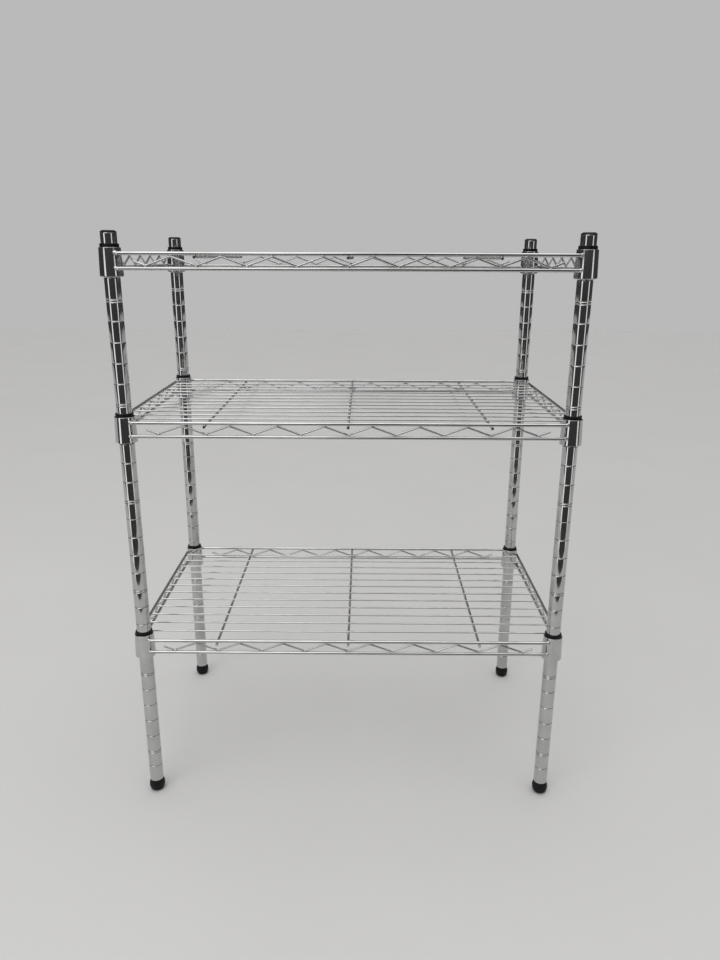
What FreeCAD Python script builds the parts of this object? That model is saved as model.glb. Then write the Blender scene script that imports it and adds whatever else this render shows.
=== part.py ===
import FreeCAD, Part
import math
import os

# Three wire shelves on four ringed posts. Millimetres, +Z up.
# Origin: on the floor, midway between the four posts.

# ---- overall layout ----
post_spacing_x = 565.0          # left post axis to right post axis
post_spacing_y = 315.0          # front post axis to rear post axis
groove_pitch = 25.4             # one ring groove per inch of post
lower_pitches = 16              # length of the lower post section, in groove pitches
upper_pitches = 14              # length of the upper post section, in groove pitches
shelf_grooves = {"bottom": 9, "middle": 21, "top": 29}
double_every = 5                # every fifth groove is a double ring
double_first = 2                # the first double ring

# ---- posts ----
post_d = 19.0
post_wall = 1.2
groove_depth = 0.5
groove_width = 1.4
double_gap = 3.0                # second ring of a double, below the groove itself
tube_end_chamfer = 0.35

# ---- clearances ----
press_gap = 0.02                # radial, plugs and moulded-in studs
thread_gap = 0.05               # radial, studs in their threaded bores
sleeve_gap = 0.03               # radial, split sleeve on the post
taper_gap = 0.05                # radial, collar on the split sleeve
weld_gap = 0.05                 # between wires that are welded together
half_gap = 0.3                  # between the two halves of a split sleeve

# ---- inside the posts ----
plug_h = 14.0
stud_d = 8.0
joint_stud_len = 12.0
joint_nut_face_gap = 0.3        # the nut and the stud plug stop short of the seam

# ---- levelling feet ----
foot_bulge = 1.5                # knob radius outside the post radius
foot_top_inset = 0.5            # flat that meets the post end, inside the post radius
foot_h = 18.0
foot_sole_inset = 3.5           # flat on the floor, inside the knob radius
foot_stud_above = 26.0          # stud length above the foot
foot_stud_in_knob = 10.5

# ---- post caps ----
cap_h = 3.0
cap_plug_len = 9.0
cap_wall = 1.4
cap_edge_r = 1.2

# ---- split sleeves, heights measured from their groove ----
sleeve_top = 13.3
sleeve_skirt = 0.5              # the sleeve shows this much below the collar
sleeve_top_wall = 1.65
ridge_gap = 0.1                 # ridge inside its groove
taper = 0.0338                  # radius gained per millimetre going down

# ---- collars ----
collar_top = 9.0                # above the sleeve groove
collar_h = 33.0
collar_wall = 1.35

# ---- shelf wires ----
rail_d = 4.4
zigzag_d = 2.6
deck_d = 2.3
cross_d = 3.8
top_rail_z = 2.5                # above the sleeve groove
rail_drop = 17.3                # top rail centre to bottom rail centre
rail_offset = 10.6              # rail plane outside the post axis plane
rail_end_inset = 8.5            # rail end, inside the post axis
front_zigzag_pitch = 59.6
front_zigzag_inset = 29.2       # free end, inside the post axis
side_zigzag_pitch = 49.0
side_zigzag_inset = 22.75
zigzag_bend_r = 4.0
deck_pitch = 25.0
deck_edge_gap = 30.6            # first deck wire to the rail centre
cross_count = 3
cross_end_gap = 102.5           # outermost cross wire to the post axis
cross_overhang = 1.4            # cross wire tip past the outside of the rail

# ---- derived ----
post_r = post_d / 2
tube_bore_r = post_r - post_wall
base_z = foot_h
foot_r = post_r + foot_bulge
foot_top_r = post_r - foot_top_inset
foot_sole_r = foot_r - foot_sole_inset
foot_shoulder = foot_r - foot_top_r
seam_z = base_z + lower_pitches * groove_pitch
top_z = seam_z + upper_pitches * groove_pitch
stud_r = stud_d / 2
plug_r = tube_bore_r - press_gap
half_x = post_spacing_x / 2
half_y = post_spacing_y / 2
collar_bottom = collar_top - collar_h
sleeve_bottom = collar_bottom - sleeve_skirt
up = FreeCAD.Vector(0, 0, 1)

corners = {
    "front_left": (-half_x, -half_y),
    "front_right": (half_x, -half_y),
    "rear_left": (-half_x, half_y),
    "rear_right": (half_x, half_y),
}

os.makedirs("parts", exist_ok=True)


def save(shape, name):
    shape.exportStep("parts/" + name + ".step")


def compound_at(shape, places):
    copies = []
    for place in places:
        copy = shape.copy()
        copy.translate(FreeCAD.Vector(*place))
        copies.append(copy)
    return Part.makeCompound(copies)


def turned(profile):
    """Solid of revolution about Z from (radius, height) points."""
    points = [FreeCAD.Vector(r, 0, z) for r, z in profile]
    points.append(points[0])
    face = Part.Face(Part.makePolygon(points))
    return face.revolve(FreeCAD.Vector(0, 0, 0), up, 360)


def rod(radius, start, end):
    start = FreeCAD.Vector(*start)
    direction = FreeCAD.Vector(*end) - start
    return Part.makeCylinder(radius, direction.Length, start, direction)


def rounded_wire(points, bend_r):
    """Straight runs joined by tangent arcs of one radius."""
    edges = []
    here = points[0]
    for i in range(1, len(points) - 1):
        corner = points[i]
        back = (points[i - 1] - corner).normalize()
        ahead = (points[i + 1] - corner).normalize()
        half_angle = back.getAngle(ahead) / 2
        run = bend_r / math.tan(half_angle)
        arc_start = corner + back * run
        arc_end = corner + ahead * run
        inward = (back + ahead).normalize()
        centre = corner + inward * (bend_r / math.sin(half_angle))
        arc_mid = centre - inward * bend_r
        edges.append(Part.makeLine(here, arc_start))
        edges.append(Part.Arc(arc_start, arc_mid, arc_end).toShape())
        here = arc_end
    edges.append(Part.makeLine(here, points[-1]))
    return Part.Wire(edges)


def swept(path, radius):
    start = path.Edges[0].Vertexes[0].Point
    direction = path.Edges[0].tangentAt(path.Edges[0].FirstParameter)
    ring = Part.Wire([Part.makeCircle(radius, start, direction)])
    return path.makePipeShell([ring], True, True)


# ---- posts ----
def groove_heights(first, last):
    """Heights of all rings from one groove number to another, in order."""
    heights = []
    for k in range(first, last + 1):
        z = base_z + k * groove_pitch
        if (k - double_first) % double_every == 0:
            heights.append(z - double_gap)
        heights.append(z)
    return heights


def post_tube(bottom, top, rings):
    profile = [(tube_bore_r, bottom)]
    profile.append((post_r - tube_end_chamfer, bottom))
    profile.append((post_r, bottom + tube_end_chamfer))
    for z in rings:
        profile.append((post_r, z - groove_width / 2))
        profile.append((post_r - groove_depth, z - groove_width / 6))
        profile.append((post_r - groove_depth, z + groove_width / 6))
        profile.append((post_r, z + groove_width / 2))
    profile.append((post_r, top - tube_end_chamfer))
    profile.append((post_r - tube_end_chamfer, top))
    profile.append((tube_bore_r, top))
    return turned(profile)


lower_tube = post_tube(base_z, seam_z, groove_heights(1, lower_pitches - 1))
upper_rings = groove_heights(lower_pitches + 1, lower_pitches + upper_pitches - 1)
upper_tube = post_tube(seam_z, top_z, upper_rings)

# threaded joint inside the seam: a nut below, a plug with a stud above
nut_top = seam_z - joint_nut_face_gap
joint_nut = turned([
    (stud_r + thread_gap, nut_top - plug_h),
    (plug_r, nut_top - plug_h),
    (plug_r, nut_top),
    (stud_r + thread_gap, nut_top),
])
plug_bottom = seam_z + joint_nut_face_gap
joint_stud = turned([
    (0, plug_bottom - joint_stud_len),
    (stud_r, plug_bottom - joint_stud_len),
    (stud_r, plug_bottom),
    (plug_r, plug_bottom),
    (plug_r, plug_bottom + plug_h),
    (0, plug_bottom + plug_h),
])

# threaded insert in the bottom end of each post
foot_insert = turned([
    (stud_r + thread_gap, base_z),
    (plug_r, base_z),
    (plug_r, base_z + plug_h),
    (stud_r + thread_gap, base_z + plug_h),
])

# ---- levelling foot ----
knob_hole_bottom = foot_h - foot_stud_in_knob
foot_knob = turned([
    (0, 0),
    (foot_sole_r, 0),
    (foot_sole_r + 0.55 * foot_sole_inset, 0.10 * foot_h),
    (foot_sole_r + 0.90 * foot_sole_inset, 0.26 * foot_h),
    (foot_r, 0.42 * foot_h),
    (foot_r, 0.58 * foot_h),
    (foot_top_r + 0.70 * foot_shoulder, 0.76 * foot_h),
    (foot_top_r + 0.25 * foot_shoulder, 0.90 * foot_h),
    (foot_top_r, foot_h),
    (stud_r + press_gap, foot_h),
    (stud_r + press_gap, knob_hole_bottom),
    (0, knob_hole_bottom),
])
foot_stud = Part.makeCylinder(
    stud_r,
    foot_stud_in_knob - press_gap + foot_stud_above,
    FreeCAD.Vector(0, 0, knob_hole_bottom + press_gap),
)

# ---- post cap ----
cap = turned([
    (0, top_z + cap_h),
    (post_r - 2 * cap_edge_r, top_z + cap_h),
    (post_r - cap_edge_r, top_z + cap_h - 0.3 * cap_edge_r),
    (post_r - 0.3 * cap_edge_r, top_z + cap_h - 0.9 * cap_edge_r),
    (post_r, top_z + cap_h - 1.6 * cap_edge_r),
    (post_r, top_z),
    (plug_r, top_z),
    (plug_r, top_z - cap_plug_len),
    (plug_r - cap_wall, top_z - cap_plug_len),
    (plug_r - cap_wall, top_z),
    (0, top_z),
])

for corner, (x, y) in corners.items():
    here = [(x, y, 0)]
    save(compound_at(lower_tube, here).Solids[0], "post_lower_" + corner)
    save(compound_at(upper_tube, here).Solids[0], "post_upper_" + corner)
    save(compound_at(cap, here).Solids[0], "cap_" + corner)
    save(compound_at(foot_knob, here).Solids[0], "foot_knob_" + corner)
    save(compound_at(foot_stud, here).Solids[0], "foot_stud_" + corner)

all_corners = [(x, y, 0) for x, y in corners.values()]
save(compound_at(joint_nut, all_corners), "post_joint_nuts")
save(compound_at(joint_stud, all_corners), "post_joint_studs")
save(compound_at(foot_insert, all_corners), "foot_inserts")


# ---- split sleeves ----
def sleeve_r(height):
    """Outside radius of the sleeve at a height above its groove."""
    return post_r + sleeve_top_wall + taper * (sleeve_top - height)


sleeve_bore_r = post_r + sleeve_gap
ridge_r = post_r - groove_depth + ridge_gap
ridge_half = groove_width / 2 - ridge_gap
ridge_tip_half = groove_width / 6 - ridge_gap / 2
sleeve_ring = turned([
    (sleeve_bore_r, sleeve_bottom),
    (sleeve_r(sleeve_bottom), sleeve_bottom),
    (sleeve_r(sleeve_top), sleeve_top),
    (sleeve_bore_r, sleeve_top),
    (sleeve_bore_r, ridge_half),
    (ridge_r, ridge_tip_half),
    (ridge_r, -ridge_tip_half),
    (sleeve_bore_r, -ridge_half),
])


def half_sleeve(turn):
    """Half of the sleeve, its split line turned about the post."""
    size = post_d * 4
    box = Part.makeBox(size, size, size, FreeCAD.Vector(half_gap / 2, -size / 2, -size / 2))
    box.rotate(FreeCAD.Vector(0, 0, 0), up, turn)
    return sleeve_ring.common(box).Solids[0]


def sleeve_turn(x, y):
    """Split line on the diagonal that points at the middle of the shelf."""
    return math.degrees(math.atan2(y / half_y, x / half_x)) + 90


# ---- collars ----
def collar_bore_r(height):
    return sleeve_r(height) + taper_gap


collar = turned([
    (collar_bore_r(collar_bottom), collar_bottom),
    (collar_bore_r(collar_bottom) + collar_wall, collar_bottom),
    (collar_bore_r(collar_top) + collar_wall, collar_top),
    (collar_bore_r(collar_top), collar_top),
])

# solid used to trim rail ends so that they meet the outside of a collar
collar_trim = turned([
    (0, collar_bottom - 5),
    (collar_bore_r(collar_bottom - 5) + collar_wall + weld_gap, collar_bottom - 5),
    (collar_bore_r(collar_top + 5) + collar_wall + weld_gap, collar_top + 5),
    (0, collar_top + 5),
])

# ---- shelf wires, heights from the sleeve groove ----
rail_r = rail_d / 2
zigzag_r = zigzag_d / 2
deck_r = deck_d / 2
cross_r = cross_d / 2
bottom_rail_z = top_rail_z - rail_drop
rail_x = half_x + rail_offset
rail_y = half_y + rail_offset
cross_z = top_rail_z - rail_r - weld_gap - cross_r
deck_z = cross_z + cross_r + weld_gap + deck_r
zigzag_low = bottom_rail_z + rail_r + weld_gap + zigzag_r
zigzag_high = top_rail_z - rail_r - weld_gap - zigzag_r


def trimmed(wire, x, y):
    for sx in (-1, 1):
        for sy in (-1, 1):
            if x * sx >= 0 and y * sy >= 0:
                trim = collar_trim.copy()
                trim.translate(FreeCAD.Vector(sx * half_x, sy * half_y, 0))
                wire = wire.cut(trim)
    return wire.Solids[0]


def long_rails(side):
    """Front (-1) or rear (+1) pair of rails along X."""
    solids = []
    end = half_x - rail_end_inset
    for z in (bottom_rail_z, top_rail_z):
        wire = rod(rail_r, (-end, side * rail_y, z), (end, side * rail_y, z))
        solids.append(trimmed(wire, 0, side))
    return Part.makeCompound(solids)


def side_rails(side):
    """Left (-1) or right (+1) pair of rails along Y."""
    solids = []
    end = half_y - rail_end_inset
    for z in (bottom_rail_z, top_rail_z):
        wire = rod(rail_r, (side * rail_x, -end, z), (side * rail_x, end, z))
        solids.append(trimmed(wire, side, 0))
    return Part.makeCompound(solids)


def zigzag_line(half_span, nominal_pitch):
    """Corner points (along, height) of a zigzag whose free ends are at half height."""
    count = round(2 * half_span / nominal_pitch - 0.5)
    pitch = 2 * half_span / (count + 0.5)
    rise = zigzag_high - zigzag_low
    # the rounded bends pull the wire back from the sharp corners
    slope = math.atan2(rise, pitch / 2)
    extra = zigzag_bend_r * (1 / math.cos(slope) - 1)
    low = zigzag_low - extra
    high = zigzag_high + extra
    middle = (low + high) / 2
    points = [(-half_span, middle)]
    along = -half_span + pitch / 4
    for i in range(2 * count + 1):
        points.append((along, low if i % 2 == 0 else high))
        along += pitch / 2
    points.append((half_span, middle))
    return points


def front_zigzag(side):
    line = zigzag_line(half_x - front_zigzag_inset, front_zigzag_pitch)
    points = [FreeCAD.Vector(a, side * rail_y, z) for a, z in line]
    return swept(rounded_wire(points, zigzag_bend_r), zigzag_r)


def side_zigzag(side):
    line = zigzag_line(half_y - side_zigzag_inset, side_zigzag_pitch)
    points = [FreeCAD.Vector(side * rail_x, a, z) for a, z in line]
    return swept(rounded_wire(points, zigzag_bend_r), zigzag_r)


def deck_wires():
    """Long wires lying on the cross wires, ends against the side top rails."""
    first = rail_y - deck_edge_gap
    count = round(2 * first / deck_pitch) + 1
    step = 2 * first / (count - 1)
    end = rail_x - rail_r - weld_gap
    solids = []
    for i in range(count):
        y = -first + i * step
        solids.append(rod(deck_r, (-end, y, deck_z), (end, y, deck_z)))
    return Part.makeCompound(solids)


def cross_wires():
    outer = half_x - cross_end_gap
    tip = rail_y + rail_r + cross_overhang
    solids = []
    for i in range(cross_count):
        x = -outer + 2 * outer * i / (cross_count - 1)
        solids.append(rod(cross_r, (x, -tip, cross_z), (x, tip, cross_z)))
    return Part.makeCompound(solids)


shelf_pieces = {
    "front_rails": long_rails(-1),
    "rear_rails": long_rails(1),
    "left_rails": side_rails(-1),
    "right_rails": side_rails(1),
    "front_zigzag": front_zigzag(-1),
    "rear_zigzag": front_zigzag(1),
    "left_zigzag": side_zigzag(-1),
    "right_zigzag": side_zigzag(1),
    "deck_wires": deck_wires(),
    "cross_wires": cross_wires(),
    "collars": compound_at(collar, all_corners),
}

sleeve_solids = []
for x, y in corners.values():
    for flip in (0, 180):
        half = half_sleeve(sleeve_turn(x, y) + flip)
        half.translate(FreeCAD.Vector(x, y, 0))
        sleeve_solids.append(half)
sleeves = Part.makeCompound(sleeve_solids)

for level, groove in shelf_grooves.items():
    lift = FreeCAD.Vector(0, 0, base_z + groove * groove_pitch)
    for name, shape in shelf_pieces.items():
        placed = shape.copy()
        placed.translate(lift)
        save(placed, level + "_" + name)
    placed = sleeves.copy()
    placed.translate(lift)
    save(placed, level + "_sleeves")
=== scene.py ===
import math
import random
import bpy
import bmesh
from mathutils import Matrix, Vector, noise


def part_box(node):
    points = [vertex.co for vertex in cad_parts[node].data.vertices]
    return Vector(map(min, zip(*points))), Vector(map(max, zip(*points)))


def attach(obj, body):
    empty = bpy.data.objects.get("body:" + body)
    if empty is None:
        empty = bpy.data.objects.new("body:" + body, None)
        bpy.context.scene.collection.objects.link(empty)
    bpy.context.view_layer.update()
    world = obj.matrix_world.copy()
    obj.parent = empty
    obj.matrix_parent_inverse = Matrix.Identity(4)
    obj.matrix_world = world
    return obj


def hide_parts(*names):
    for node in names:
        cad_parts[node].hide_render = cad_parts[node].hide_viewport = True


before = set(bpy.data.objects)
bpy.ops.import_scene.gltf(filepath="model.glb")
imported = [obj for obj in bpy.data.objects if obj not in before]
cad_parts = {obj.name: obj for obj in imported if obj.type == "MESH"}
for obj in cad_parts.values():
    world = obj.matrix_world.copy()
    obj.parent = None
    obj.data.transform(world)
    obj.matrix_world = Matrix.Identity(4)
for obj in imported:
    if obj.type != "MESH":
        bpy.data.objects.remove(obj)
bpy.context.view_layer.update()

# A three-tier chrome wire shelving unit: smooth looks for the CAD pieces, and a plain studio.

MM = 0.001
RNG = random.Random(7)
CORNERS = ("front_left", "front_right", "rear_left", "rear_right")
LEVELS = ("bottom", "middle", "top")

# sizes of the pieces in millimetres: the CAD's own, apart from the beads and the rail ends
GROOVE_PITCH = 25.4
GROOVE_WIDTH = 1.4
GROOVE_DEPTH = 0.5
DOUBLE_GAP = 3.0
LOWER_PITCHES = 16
UPPER_PITCHES = 14
DECK_COUNT = 12
CROSS_COUNT = 3
FRONT_BOTTOMS = 9
SIDE_BOTTOMS = 6
ZIGZAG_BEND = 4.0
POST_WALL = 1.2
COLLAR_WALL = 1.35
TAPER = 0.0338              # radius gained per mm down a collar or sleeve
SLEEVE_BORE = 9.53
SLEEVE_TOP_RADIUS = 11.15
SLEEVE_WAIST = 6.0          # a point on the taper, this far below the top
SLEEVE_SPLIT = 0.8          # degrees left open at each side of a half
WIRE_END_INSET = 0.42       # from the CAD box to the end of a zigzag's centre line
RAIL_END_BEAD = (2.9, 2.5, 2.7)      # half widths: along, across, up
ZIGZAG_BEAD = (2.2, 1.8, 1.3)
RAIL_END = ((0.4, 0.9), (1.4, 0.45), (3.5, 0.08), (6, 0))    # inset and inward bend
RAIL_SWELL = (0.8, 0.94, 1, 1, 1, 1, 1, 0.94, 0.8)           # share of the radius along a rail
CAP_RIM = 3.0
CAP_PLUG_GAP = 0.02
CAP_PLUG_WALL = 1.4
STUD_HOLE_RADIUS = 4.02
STUD_HOLE_DEPTH = 10.5

# the stage: metres, radiance and radians
FLOOR_WIDTH = 14.0
FLOOR_FRONT = -0.85         # the posts mirror the dark part of the dome beyond this edge
FLOOR_BACK = 7.0
DOME_LOW = 0.055
DOME_SIDE = 0.20
DOME_TOP = 1.80
BACKDROP = 0.49             # what the camera sees behind the object, near the floor's own grey
CAMERA_AT = (0.0191, -1.0663, 0.7535)
CAMERA_PITCH, CAMERA_YAW, CAMERA_ROLL = 0.2944, 0.0044, -0.0049    # radians, pitch down

CHROMIUM = (0.55, 0.556, 0.554)
CHROMIUM_DULL = (0.43, 0.425, 0.415)


# ---------------------------------------------------------------- materials
def nodes_of(mat):
    mat.use_nodes = True
    tree = mat.node_tree
    bsdf = tree.nodes["Principled BSDF"]
    return tree, bsdf


def add(tree, kind, **values):
    node = tree.nodes.new(kind)
    for key, value in values.items():
        if hasattr(node, key):
            setattr(node, key, value)
        else:
            node.inputs[key].default_value = value
    return node


def noise_node(tree, coords, scale, detail=4.0, rough=0.55, stretch=None):
    source = coords
    if stretch:
        mapping = add(tree, "ShaderNodeMapping")
        mapping.inputs["Scale"].default_value = stretch
        tree.links.new(coords, mapping.inputs["Vector"])
        source = mapping.outputs["Vector"]
    node = add(tree, "ShaderNodeTexNoise")
    node.inputs["Scale"].default_value = scale
    node.inputs["Detail"].default_value = detail
    node.inputs["Roughness"].default_value = rough
    tree.links.new(source, node.inputs["Vector"])
    return node.outputs["Fac"]


def ramp(tree, fac, low, high, a, b):
    node = add(tree, "ShaderNodeMapRange")
    node.inputs["From Min"].default_value = low
    node.inputs["From Max"].default_value = high
    node.inputs["To Min"].default_value = a
    node.inputs["To Max"].default_value = b
    tree.links.new(fac, node.inputs["Value"])
    return node.outputs["Result"]


def colour_mix(tree, fac, a, b):
    node = add(tree, "ShaderNodeValToRGB")
    node.color_ramp.elements[0].color = (*a, 1)
    node.color_ramp.elements[1].color = (*b, 1)
    tree.links.new(fac, node.inputs["Fac"])
    return node.outputs["Color"]


def bump(tree, bsdf, heights):
    """Chain of bumps: (height socket, strength, distance in metres)."""
    last = None
    for height, strength, distance in heights:
        node = add(tree, "ShaderNodeBump")
        node.inputs["Strength"].default_value = strength
        node.inputs["Distance"].default_value = distance
        tree.links.new(height, node.inputs["Height"])
        if last:
            tree.links.new(last, node.inputs["Normal"])
        last = node.outputs["Normal"]
    tree.links.new(last, bsdf.inputs["Normal"])


def chrome(name, grain, rough, tint=CHROMIUM, dull=CHROMIUM_DULL, stretch=0.0):
    """Bright plated steel: faint drawing lines along the grain, smudges and dust.
    stretch draws highlights out up the post, as polishing round the tube does."""
    mat = bpy.data.materials.new(name)
    tree, bsdf = nodes_of(mat)
    coords = add(tree, "ShaderNodeTexCoord").outputs["Object"]
    smudge = noise_node(tree, coords, 22.0, 5.0, 0.6)
    dust = noise_node(tree, coords, 900.0, 3.0, 0.7)
    lines = noise_node(tree, coords, 1.0, 3.0, 0.6, grain)
    colour = colour_mix(tree, ramp(tree, smudge, 0.42, 0.8, 0.0, 1.0), tint, dull)
    tree.links.new(colour, bsdf.inputs["Base Color"])
    patchy = ramp(tree, smudge, 0.35, 0.72, rough[0], rough[1])
    speck = ramp(tree, dust, 0.64, 0.8, 0.0, 0.06)
    total = add(tree, "ShaderNodeMath", operation="ADD")
    tree.links.new(patchy, total.inputs[0])
    tree.links.new(speck, total.inputs[1])
    tree.links.new(total.outputs[0], bsdf.inputs["Roughness"])
    bsdf.inputs["Metallic"].default_value = 1.0
    if stretch:
        bsdf.inputs["Anisotropic"].default_value = stretch
        upright = add(tree, "ShaderNodeCombineXYZ")
        upright.inputs["Z"].default_value = 1.0
        tree.links.new(upright.outputs["Vector"], bsdf.inputs["Tangent"])
    bump(tree, bsdf, [(lines, 0.03, 0.00003), (smudge, 0.02, 0.0001)])
    return mat


def black_plastic(name):
    base, worn = (0.004, 0.004, 0.0045), (0.012, 0.012, 0.0125)
    mat = bpy.data.materials.new(name)
    tree, bsdf = nodes_of(mat)
    coords = add(tree, "ShaderNodeTexCoord").outputs["Object"]
    grain = noise_node(tree, coords, 2600.0, 3.0, 0.6)
    cloud = noise_node(tree, coords, 60.0, 4.0, 0.6)
    colour = colour_mix(tree, ramp(tree, cloud, 0.4, 0.75, 0.0, 1.0), base, worn)
    tree.links.new(colour, bsdf.inputs["Base Color"])
    tree.links.new(ramp(tree, cloud, 0.3, 0.7, 0.40, 0.55), bsdf.inputs["Roughness"])
    bsdf.inputs["Specular IOR Level"].default_value = 0.2
    bump(tree, bsdf, [(grain, 0.35, 0.00006), (cloud, 0.15, 0.0002)])
    return mat


def zinc(name):
    mat = bpy.data.materials.new(name)
    tree, bsdf = nodes_of(mat)
    coords = add(tree, "ShaderNodeTexCoord").outputs["Object"]
    cloud = noise_node(tree, coords, 140.0, 5.0, 0.6)
    colour = colour_mix(tree, cloud, (0.42, 0.43, 0.45), (0.62, 0.62, 0.62))
    tree.links.new(colour, bsdf.inputs["Base Color"])
    tree.links.new(ramp(tree, cloud, 0.3, 0.7, 0.25, 0.42), bsdf.inputs["Roughness"])
    bsdf.inputs["Metallic"].default_value = 1.0
    bump(tree, bsdf, [(cloud, 0.3, 0.0001)])
    return mat


CHROME_POST = chrome("chrome_post", (900.0, 900.0, 12.0), (0.06, 0.10), stretch=0.7)
CHROME_COLLAR = chrome("chrome_collar", (700.0, 700.0, 30.0), (0.06, 0.11), stretch=0.6)
CHROME_WIRE_X = chrome("chrome_wire_x", (14.0, 1500.0, 1500.0), (0.05, 0.12))
CHROME_WIRE_Y = chrome("chrome_wire_y", (1500.0, 14.0, 1500.0), (0.05, 0.12))
CHROME_WELD = chrome("chrome_weld", (500.0, 500.0, 500.0), (0.06, 0.18),
                     (0.62, 0.62, 0.61), (0.46, 0.45, 0.44))
BLACK = black_plastic("black_plastic_satin")
ZINC = zinc("zinc_steel")


# ---------------------------------------------------------------- mesh helpers
def finish_piece(name, bm, mat, body, slot, *nodes, sharp=38.0, weighted=True):
    bmesh.ops.recalc_face_normals(bm, faces=bm.faces)
    limit = math.radians(sharp)
    for face in bm.faces:
        face.smooth = True
    for edge in bm.edges:
        if len(edge.link_faces) == 2 and edge.calc_face_angle(0) > limit:
            edge.smooth = False
    mesh = bpy.data.meshes.new(name)
    bm.to_mesh(mesh)
    bm.free()
    mesh.materials.append(mat)
    obj = bpy.data.objects.new(name, mesh)
    bpy.context.scene.collection.objects.link(obj)
    if weighted:
        mod = obj.modifiers.new("even_normals", "WEIGHTED_NORMAL")
        mod.keep_sharp = True
        mod.weight = 60
    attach(obj, body)
    if nodes:
        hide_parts(*nodes)
    return obj


def turned(v, angle):
    c, s = math.cos(angle), math.sin(angle)
    return Vector((v.x * c - v.y * s, v.x * s + v.y * c))


def fillet(profile, steps=4):
    """(r, z, radius) corners of a closed outline -> points with rounded corners."""
    out = []
    count = len(profile)
    for i, (r, z, radius) in enumerate(profile):
        here = Vector((r, z))
        if radius <= 0:
            out.append(here)
            continue
        back = Vector(profile[i - 1][:2]) - here
        ahead = Vector(profile[(i + 1) % count][:2]) - here
        half = back.angle(ahead) / 2
        run = min(radius / math.tan(half), back.length * 0.48, ahead.length * 0.48)
        radius = run * math.tan(half)
        back.normalize()
        ahead.normalize()
        centre = here + (back + ahead).normalized() * (radius / math.sin(half))
        start = here + back * run - centre
        turn = start.angle_signed(here + ahead * run - centre)
        for k in range(steps + 1):
            out.append(centre + turned(start, -turn * k / steps))
    return out


def lathe(bm, outline, centre, segs=64, start=0.0, sweep=360.0, closed=True):
    """Turns an outline of (radius, height) in millimetres about a vertical axis at centre (metres)."""
    full = abs(sweep - 360.0) < 1e-6
    cols = segs if full else segs + 1
    rings = []
    for r, z in outline:
        if r < 1e-6:
            rings.append([bm.verts.new((centre[0], centre[1], centre[2] + z * MM))] * cols)
            continue
        ring = []
        for k in range(cols):
            a = math.radians(start + sweep * k / segs)
            x, y = r * MM * math.cos(a), r * MM * math.sin(a)
            ring.append(bm.verts.new((centre[0] + x, centre[1] + y, centre[2] + z * MM)))
        rings.append(ring)
    pairs = list(zip(rings, rings[1:]))
    if closed:
        pairs.append((rings[-1], rings[0]))
    for low, high in pairs:
        for k in range(segs):
            n = (k + 1) % cols
            corners = []
            for v in (low[k], low[n], high[n], high[k]):
                if v not in corners:
                    corners.append(v)
            if len(corners) > 2:
                bm.faces.new(corners)
    if not full:
        bm.faces.new([ring[0] for ring in rings])
        bm.faces.new([ring[-1] for ring in reversed(rings)])


def tube(bm, points, radius, sides=20, chamfer=0.35, scales=None):
    """Round wire through points (metres). radius and chamfer are in millimetres."""
    pts = [Vector(p) for p in points]
    radii = [radius * MM] * len(pts)
    if scales:
        radii = [radius * MM * s for s in scales]
    if chamfer:
        first = (pts[1] - pts[0]).normalized()
        last = (pts[-1] - pts[-2]).normalized()
        c = chamfer * MM
        near, far = pts[0], pts[-1]
        head = [near, near + first * c * 0.35, near + first * c]
        tail = [far - last * c, far - last * c * 0.35, far]
        pts = head + pts[1:-1] + tail
        head = [radii[0] - c, radii[0] - c * 0.35, radii[0]]
        tail = [radii[-1], radii[-1] - c * 0.35, radii[-1] - c]
        radii = head + radii[1:-1] + tail
    tangents = []
    for i in range(len(pts)):
        ahead = pts[min(i + 1, len(pts) - 1)] - pts[max(i - 1, 0)]
        tangents.append(ahead.normalized())
    normal = tangents[0].orthogonal().normalized()
    rings = []
    for i, p in enumerate(pts):
        if i:
            normal = tangents[i - 1].rotation_difference(tangents[i]) @ normal
        side = tangents[i].cross(normal)
        ring = []
        for k in range(sides):
            a = 2 * math.pi * k / sides
            ring.append(bm.verts.new(p + (normal * math.cos(a) + side * math.sin(a)) * radii[i]))
        rings.append(ring)
    for low, high in zip(rings, rings[1:]):
        for k in range(sides):
            n = (k + 1) % sides
            bm.faces.new((low[k], low[n], high[n], high[k]))
    bm.faces.new(list(reversed(rings[0])))
    bm.faces.new(rings[-1])


def bead(bm, centre, size, lumpy=0.12, detail=2):
    """A weld nugget: a squashed, slightly uneven blob. size is (x, y, z) half widths in millimetres."""
    made = bmesh.ops.create_icosphere(bm, subdivisions=detail, radius=1.0)["verts"]
    shift = Vector((RNG.uniform(-50, 50), RNG.uniform(-50, 50), RNG.uniform(-50, 50)))
    for v in made:
        swell = 1 + lumpy * noise.noise(v.co * 1.6 + shift)
        v.co = Vector(centre) + Vector((v.co.x * size[0], v.co.y * size[1], v.co.z * size[2])) * MM * swell


def along_axis(size, axis):
    along, across, up = size
    return (along, across, up) if axis == 0 else (across, along, up)


def middle(node):
    low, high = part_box(node)
    return (low + high) / 2


# ---------------------------------------------------------------- posts
def groove_points(z, outer):
    """Rolled groove: soft shoulders and a rounded bottom."""
    w, d = GROOVE_WIDTH, GROOVE_DEPTH
    side = ((0.2, 0.86), (0.36, 0.38), (0.52, 0.05), (0.72, 0.0))
    shape = [(-along, depth) for along, depth in reversed(side)] + [(0.0, 1.0)] + list(side)
    return [(outer - d * depth, z + w * along) for along, depth in shape]


def ring_heights(first, last):
    out = []
    for k in range(first, last + 1):
        z = k * GROOVE_PITCH
        if k % 5 == 2:
            out.append(z - DOUBLE_GAP)
        out.append(z)
    return out


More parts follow.
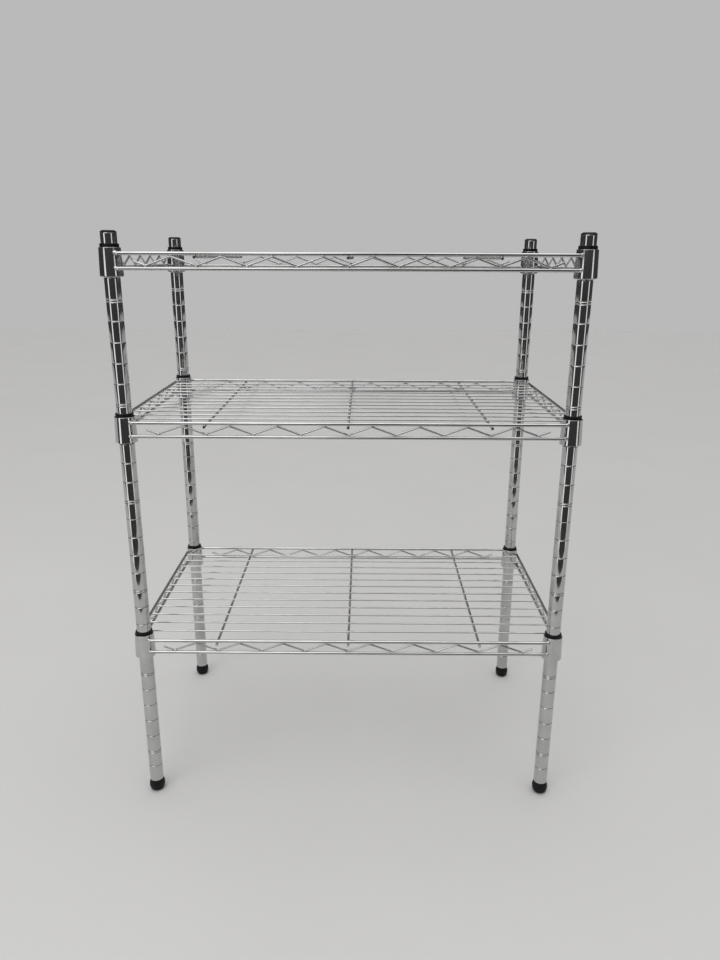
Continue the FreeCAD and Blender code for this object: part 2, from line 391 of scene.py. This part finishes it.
def build_posts():
    sections = (("lower", 0, LOWER_PITCHES), ("upper", LOWER_PITCHES, UPPER_PITCHES))
    for corner in CORNERS:
        for part, first, count in sections:
            node = "post_%s_%s" % (part, corner)
            low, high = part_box(node)
            centre = middle(node)
            outer = (high.x - low.x) / 2 / MM
            length = (high.z - low.z) / MM
            inner = outer - POST_WALL
            end = ((outer - 0.38, 0.0), (outer - 0.12, 0.10), (outer, 0.38), (outer, 0.9))
            outline = [(inner, 0.0)] + list(end)
            for z in ring_heights(first + 1, first + count - 1):
                outline += groove_points(z - first * GROOVE_PITCH, outer)
            outline += [(r, length - z) for r, z in reversed(end)] + [(inner, length)]
            bm = bmesh.new()
            lathe(bm, outline, (centre.x, centre.y, low.z), segs=72)
            finish_piece("look_" + node, bm, CHROME_POST, "frame", "chrome", node,
                         sharp=60, weighted=False)


# ---------------------------------------------------------------- plastic pieces
def build_caps():
    for corner in CORNERS:
        node = "cap_" + corner
        low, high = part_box(node)
        centre = middle(node)
        outer = (high.x - low.x) / 2 / MM
        height = (high.z - low.z) / MM
        rim = height - CAP_RIM
        plug = outer - POST_WALL - CAP_PLUG_GAP
        inner = plug - CAP_PLUG_WALL
        outline = fillet([
            (inner, 0.0, 0.2), (plug, 0.0, 0.3), (plug, rim, 0), (outer, rim, 0.15),
            (outer, height - 1.7, 0.7), (outer - 2.3, height - 0.15, 1.8), (0, height, 0),
            (0, rim - 0.6, 0), (inner, rim - 0.6, 0.4),
        ], 5)
        bm = bmesh.new()
        lathe(bm, [(p.x, p.y) for p in outline], (centre.x, centre.y, low.z), segs=64)
        finish_piece("look_" + node, bm, BLACK, "frame", "black_plastic", node)


def build_feet():
    for corner in CORNERS:
        node = "foot_knob_" + corner
        low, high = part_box(node)
        centre = middle(node)
        outer = (high.x - low.x) / 2 / MM
        height = (high.z - low.z) / MM
        hole, floor_z = STUD_HOLE_RADIUS, height - STUD_HOLE_DEPTH
        outline = fillet([
            (0, 0, 0), (outer - 3.5, 0.0, 0.8), (outer - 1.1, 2.6, 3.0), (outer, 7.2, 5.0),
            (outer, 10.8, 5.0), (outer - 0.8, 14.2, 3.0), (outer - 2.0, height - 0.5, 0.7),
            (outer - 2.9, height, 0.3), (hole, height, 0.2), (hole, floor_z, 0), (0, floor_z, 0),
        ], 6)
        bm = bmesh.new()
        lathe(bm, [(p.x, p.y) for p in outline], (centre.x, centre.y, low.z), segs=64)
        finish_piece("look_" + node, bm, BLACK, "foot_" + corner, "black_plastic", node)


def build_sleeves():
    for level in LEVELS:
        node = level + "_sleeves"
        low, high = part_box(node)
        height = (high.z - low.z) / MM
        bm = bmesh.new()
        for corner in CORNERS:
            post = middle("post_lower_" + corner)
            bore, top_r = SLEEVE_BORE, SLEEVE_TOP_RADIUS
            turn = math.degrees(math.atan2(1 if post.y > 0 else -1, 1 if post.x > 0 else -1)) + 90
            outline = [(p.x, p.y) for p in fillet([
                (bore, 0.0, 0.2), (top_r + TAPER * height, 0.0, 0.3),
                (top_r + TAPER * SLEEVE_WAIST, height - SLEEVE_WAIST, 0), (top_r, height, 0.45),
                (bore, height, 0.25),
            ], 4)]
            for flip in (0, 180):
                lathe(bm, outline, (post.x, post.y, low.z), segs=36,
                      start=turn + flip - 90 + SLEEVE_SPLIT, sweep=180 - 2 * SLEEVE_SPLIT)
        finish_piece("look_" + node, bm, BLACK, "frame", "black_plastic", node)


# ---------------------------------------------------------------- shelves
def zigzag_path(half_span, bottoms, low, high, place):
    """Centre line of a bent wire whose free ends are at half height. place(along, z) gives a point."""
    pitch = 2 * half_span / (bottoms - 0.5)
    slope = math.atan2(high - low, pitch / 2)
    extra = ZIGZAG_BEND * (1 / math.cos(slope) - 1)
    low -= extra
    high += extra
    corners = [Vector((-half_span, (low + high) / 2))]
    along = -half_span + pitch / 4
    for i in range(2 * bottoms - 1):
        corners.append(Vector((along, low if i % 2 == 0 else high)))
        along += pitch / 2
    corners.append(Vector((half_span, (low + high) / 2)))
    path = [corners[0]]
    for i in range(1, len(corners) - 1):
        here = corners[i]
        back = (corners[i - 1] - here).normalized()
        ahead = (corners[i + 1] - here).normalized()
        half = back.angle(ahead) / 2
        run = ZIGZAG_BEND / math.tan(half)
        centre = here + (back + ahead).normalized() * (ZIGZAG_BEND / math.sin(half))
        start = here + back * run - centre
        turn = start.angle_signed(here + ahead * run - centre)
        for k in range(7):
            path.append(centre + turned(start, -turn * k / 6))
    path.append(corners[-1])
    tips = [(c.x, c.y) for c in corners[1:-1]]
    return [place(p.x * MM, p.y * MM) for p in path], tips


def build_shelf(level):
    body = "shelf_" + level
    welds = bmesh.new()
    post = {c: middle("post_lower_" + c) for c in CORNERS}

    # collars
    node = level + "_collars"
    low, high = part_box(node)
    height = (high.z - low.z) / MM
    bm = bmesh.new()
    big = (high.x - post["front_right"].x) / MM
    for corner in CORNERS:
        small = big - TAPER * height
        outline = fillet([
            (big - COLLAR_WALL, 0.0, 0.3), (big, 0.0, 0.45), (small, height, 0.5),
            (small - COLLAR_WALL, height, 0.35),
        ], 4)
        lathe(bm, [(p.x, p.y) for p in outline], (post[corner].x, post[corner].y, low.z), segs=80)
    finish_piece("look_" + node, bm, CHROME_COLLAR, body, "chrome", node)

    # rails and zigzags, front and rear then left and right
    for side, axis in (("front", 0), ("rear", 0), ("left", 1), ("right", 1)):
        node = "%s_%s_rails" % (level, side)
        low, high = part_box(node)
        thick = (high[1 - axis] - low[1 - axis]) / MM
        across = (high[1 - axis] + low[1 - axis]) / 2
        z_low = low.z + thick / 2 * MM
        z_high = high.z - thick / 2 * MM
        half = (high[axis] - low[axis]) / 2
        inward = -1 if across > 0 else 1

        def place(along, z, shift=0.0, axis=axis, across=across, inward=inward):
            point = [0.0, 0.0, z]
            point[axis] = along
            point[1 - axis] = across + inward * shift * MM
            return Vector(point)

        bm = bmesh.new()
        for z in (z_low, z_high):
            run = [(-half + inset * MM, bend) for inset, bend in RAIL_END] + [(0, 0)]
            run += [(half - inset * MM, bend) for inset, bend in reversed(RAIL_END)]
            tube(bm, [place(a, z, s) for a, s in run], thick / 2, 24, 0.5, RAIL_SWELL)
            for sign in (-1, 1):
                spot = place(sign * (half - 0.4 * MM), z + RNG.uniform(-0.2, 0.2) * MM, 0.7)
                bead(welds, spot, along_axis(RAIL_END_BEAD, axis), 0.22, 3)
        mat = CHROME_WIRE_X if axis == 0 else CHROME_WIRE_Y
        finish_piece("look_" + node, bm, mat, body, "chrome", node)

        node = "%s_%s_zigzag" % (level, side)
        low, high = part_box(node)
        wire = (high[1 - axis] - low[1 - axis]) / MM
        bottoms = FRONT_BOTTOMS if axis == 0 else SIDE_BOTTOMS
        z0 = low.z / MM + wire / 2
        z1 = high.z / MM - wire / 2
        span = (high[axis] - low[axis]) / 2 / MM - WIRE_END_INSET
        path, tips = zigzag_path(span, bottoms, z0, z1, place)
        bm = bmesh.new()
        tube(bm, path, wire / 2, 16, 0.3)
        finish_piece("look_" + node, bm, mat, body, "chrome", node)
        for i, (along, _) in enumerate(tips):
            z = z_low + thick / 2 * MM if i % 2 == 0 else z_high - thick / 2 * MM
            bead(welds, place(along * MM, z), along_axis(ZIGZAG_BEAD, axis), 0.2)

    # deck wires on cross wires
    rail_y = middle(level + "_rear_rails").y
    node = level + "_cross_wires"
    low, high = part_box(node)
    cross = (high.z - low.z) / MM
    step = (high.x - low.x - cross * MM) / (CROSS_COUNT - 1)
    cross_xs = [low.x + cross / 2 * MM + i * step for i in range(CROSS_COUNT)]
    cross_z = (low.z + high.z) / 2
    bm = bmesh.new()
    for x in cross_xs:
        tube(bm, [(x, low.y, cross_z), (x, high.y, cross_z)], cross / 2, 24, 0.35)
        for sign in (-1, 1):
            bead(welds, (x, sign * rail_y, high.z), (1.9, 1.6, 0.75), 0.2)
    finish_piece("look_" + node, bm, CHROME_WIRE_Y, body, "chrome", node)
    cross_top = high.z

    node = level + "_deck_wires"
    low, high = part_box(node)
    deck = (high.z - low.z) / MM
    step = (high.y - low.y - deck * MM) / (DECK_COUNT - 1)
    z = (low.z + high.z) / 2
    bm = bmesh.new()
    for i in range(DECK_COUNT):
        y = low.y + deck / 2 * MM + i * step
        tube(bm, [(low.x, y, z), (high.x, y, z)], deck / 2, 16, 0.15)
        for x in cross_xs:
            bead(welds, (x, y, cross_top), (1.35, 1.15, 0.62), 0.2)
        for sign in (-1, 1):
            bead(welds, (sign * (high.x + 0.1 * MM), y, z + 0.1 * MM), (0.85, 1.45, 1.3), 0.2)
    finish_piece("look_" + node, bm, CHROME_WIRE_X, body, "chrome", node)
    finish_piece("look_%s_welds" % level, welds, CHROME_WELD, body, "chrome",
                 sharp=80, weighted=False)


build_posts()
build_caps()
build_feet()
build_sleeves()
for level in LEVELS:
    build_shelf(level)

inside = ["post_joint_nuts", "post_joint_studs", "foot_inserts"]
for name in inside + ["foot_stud_" + corner for corner in CORNERS]:
    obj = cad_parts[name]
    obj.data.materials.clear()
    obj.data.materials.append(ZINC)


# ---------------------------------------------------------------- stage, light, camera
def pale_floor_material():
    mat = bpy.data.materials.new("pale_floor")
    tree, bsdf = nodes_of(mat)
    coords = add(tree, "ShaderNodeTexCoord").outputs["Object"]
    cloud = noise_node(tree, coords, 3.0, 3.0, 0.5)
    colour = colour_mix(tree, cloud, (0.61, 0.605, 0.595), (0.65, 0.645, 0.635))
    tree.links.new(colour, bsdf.inputs["Base Color"])
    bsdf.inputs["Roughness"].default_value = 0.6
    return mat


def build_floor():
    mesh = bpy.data.meshes.new("floor")
    w = FLOOR_WIDTH / 2
    corners = [(-w, FLOOR_FRONT, 0), (w, FLOOR_FRONT, 0), (w, FLOOR_BACK, 0), (-w, FLOOR_BACK, 0)]
    mesh.from_pydata(corners, [], [(0, 1, 2, 3)])
    mesh.materials.append(pale_floor_material())
    obj = bpy.data.objects.new("floor", mesh)
    bpy.context.scene.collection.objects.link(obj)


def soft_dome():
    """A plain grey dome, bright overhead and dark towards the horizon. The camera sees plain grey."""
    world = bpy.data.worlds.new("studio")
    bpy.context.scene.world = world
    world.use_nodes = True
    tree = world.node_tree
    dome = tree.nodes["Background"]
    split = add(tree, "ShaderNodeSeparateXYZ")
    tree.links.new(add(tree, "ShaderNodeTexCoord").outputs["Generated"], split.inputs["Vector"])
    total = add(tree, "ShaderNodeMath", operation="ADD")
    up = split.outputs["Z"]
    tree.links.new(ramp(tree, up, 0.05, 0.35, DOME_LOW, DOME_SIDE), total.inputs[0])
    tree.links.new(ramp(tree, up, 0.70, 0.86, 0.0, DOME_TOP - DOME_SIDE), total.inputs[1])
    tree.links.new(total.outputs[0], dome.inputs["Color"])
    backdrop = add(tree, "ShaderNodeBackground")
    backdrop.inputs["Color"].default_value = (BACKDROP, BACKDROP, BACKDROP, 1)
    mix = add(tree, "ShaderNodeMixShader")
    tree.links.new(add(tree, "ShaderNodeLightPath").outputs["Is Camera Ray"], mix.inputs[0])
    tree.links.new(dome.outputs[0], mix.inputs[1])
    tree.links.new(backdrop.outputs[0], mix.inputs[2])
    tree.links.new(mix.outputs[0], tree.nodes["World Output"].inputs["Surface"])


def area_light(name, location, target, size, power):
    data = bpy.data.lights.new(name, "AREA")
    data.shape = "RECTANGLE"
    data.size, data.size_y = size
    data.energy = power
    obj = bpy.data.objects.new(name, data)
    obj.location = location
    aim = Vector(target) - Vector(location)
    obj.rotation_euler = aim.to_track_quat("-Z", "Y").to_euler()
    bpy.context.scene.collection.objects.link(obj)


build_floor()
soft_dome()
area_light("key_box", (-1.3, -2.4, 2.2), (0, 0, 0.4), (2.6, 1.9), 28)
area_light("left_box", (-2.5, -2.4, -0.5), (0, -0.1, -0.5), (0.95, 3.0), 12)
area_light("right_box", (2.7, -2.0, -0.5), (0, -0.1, -0.5), (0.8, 3.0), 8)
bpy.context.scene.view_settings.view_transform = "Standard"

cam_data = bpy.data.cameras.new("camera")
cam_data.sensor_width = 36.0
cam_data.lens = 27.528
camera = bpy.data.objects.new("camera", cam_data)
camera.rotation_mode = "XYZ"
camera.matrix_world = (Matrix.Translation(CAMERA_AT) @ Matrix.Rotation(CAMERA_YAW, 4, "Z")
                       @ Matrix.Rotation(math.radians(90) - CAMERA_PITCH, 4, "X")
                       @ Matrix.Rotation(-CAMERA_ROLL, 4, "Z"))
bpy.context.scene.collection.objects.link(camera)
bpy.context.scene.camera = camera
